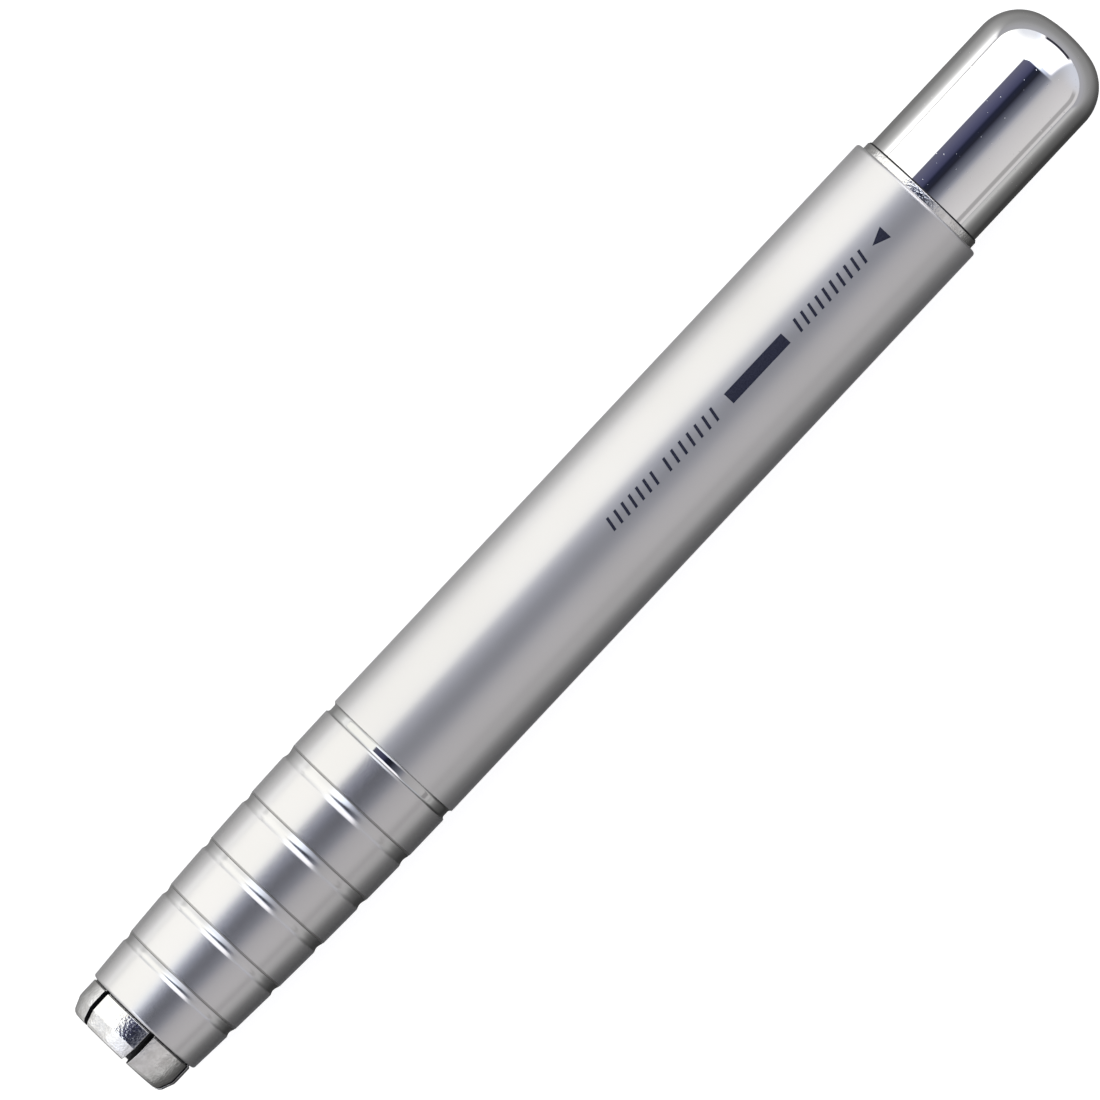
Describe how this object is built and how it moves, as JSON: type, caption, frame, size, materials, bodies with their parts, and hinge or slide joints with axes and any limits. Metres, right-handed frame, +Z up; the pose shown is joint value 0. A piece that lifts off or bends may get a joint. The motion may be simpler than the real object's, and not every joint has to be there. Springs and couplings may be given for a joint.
{
  "type": "pencil holder",
  "caption": "Push-button pencil holder: a satin aluminium barrel with a tapered, grooved grip, a slotted chrome collet at the nose and a domed chrome button.",
  "frame": {"origin": "centre of the bounding box's bottom face, on the surface that the barrel lies on", "axes": "+X along the holder from the collet jaws to the button, +Z up, +Y to the left of +X"},
  "size_m": [0.1042, 0.012, 0.012],
  "materials": {
    "anodised_aluminium": "satin anodised, fine turning lines, bright turned grooves",
    "chrome": "polished chrome plate",
    "collet_chrome": "chrome plate over a slightly uneven turned surface",
    "spring_steel": "drawn spring wire",
    "brass": "turned",
    "dark_plastic": "moulded, dark",
    "pale_plastic": "moulded, pale",
    "stop_rubber": "soft, dull"
  },
  "bodies": {
    "holder": {"barrel": "anodised_aluminium", "rear_bush": "chrome", "stop_washer": "pale_plastic", "spring_seat": "spring_steel", "return_spring": "spring_steel"},
    "push": {"collet_base": "collet_chrome", "draw_tube": "brass", "spring_collar": "brass", "snap_ring": "spring_steel", "button_cap": "chrome", "button_core": "dark_plastic", "pencil_stop": "stop_rubber"},
    "jaw_1": {"jaw_1": "collet_chrome"},
    "jaw_2": {"jaw_2": "collet_chrome"},
    "jaw_3": {"jaw_3": "collet_chrome"},
    "jaw_4": {"jaw_4": "collet_chrome"},
    "jaw_5": {"jaw_5": "collet_chrome"},
    "jaw_6": {"jaw_6": "collet_chrome"}
  },
  "joints": [
    {"name": "push_slide", "type": "slide", "parent": "holder", "child": "push", "axis": [-1, 0, 0], "range_m": [0, 0.0035], "stiffness_N_per_m": 1000, "springref_m": -0.005, "deforming": ["return_spring"]},
    {"name": "jaw_1_flex", "type": "hinge", "parent": "push", "child": "jaw_1", "pos_m": [-0.03207, -0.00277, 0.00897], "axis": [0, 0.7314, 0.682], "range_deg": [0, 1.2]},
    {"name": "jaw_2_flex", "type": "hinge", "parent": "push", "child": "jaw_2", "pos_m": [-0.03207, -0.00396, 0.00509], "axis": [0, -0.225, 0.9744], "range_deg": [0, 1.2]},
    {"name": "jaw_3_flex", "type": "hinge", "parent": "push", "child": "jaw_3", "pos_m": [-0.03207, -0.00119, 0.00212], "axis": [0, -0.9563, 0.2924], "range_deg": [0, 1.2]},
    {"name": "jaw_4_flex", "type": "hinge", "parent": "push", "child": "jaw_4", "pos_m": [-0.03207, 0.00277, 0.00303], "axis": [0, -0.7314, -0.682], "range_deg": [0, 1.2]},
    {"name": "jaw_5_flex", "type": "hinge", "parent": "push", "child": "jaw_5", "pos_m": [-0.03207, 0.00396, 0.00691], "axis": [0, 0.225, -0.9744], "range_deg": [0, 1.2]},
    {"name": "jaw_6_flex", "type": "hinge", "parent": "push", "child": "jaw_6", "pos_m": [-0.03207, 0.00119, 0.00988], "axis": [0, 0.9563, -0.2924], "range_deg": [0, 1.2]}
  ],
  "couplings": [
    {"joint": "jaw_1_flex", "follows": "push_slide", "rad_per_m": 5.8},
    {"joint": "jaw_2_flex", "follows": "push_slide", "rad_per_m": 5.8},
    {"joint": "jaw_3_flex", "follows": "push_slide", "rad_per_m": 5.8},
    {"joint": "jaw_4_flex", "follows": "push_slide", "rad_per_m": 5.8},
    {"joint": "jaw_5_flex", "follows": "push_slide", "rad_per_m": 5.8},
    {"joint": "jaw_6_flex", "follows": "push_slide", "rad_per_m": 5.8}
  ]
}
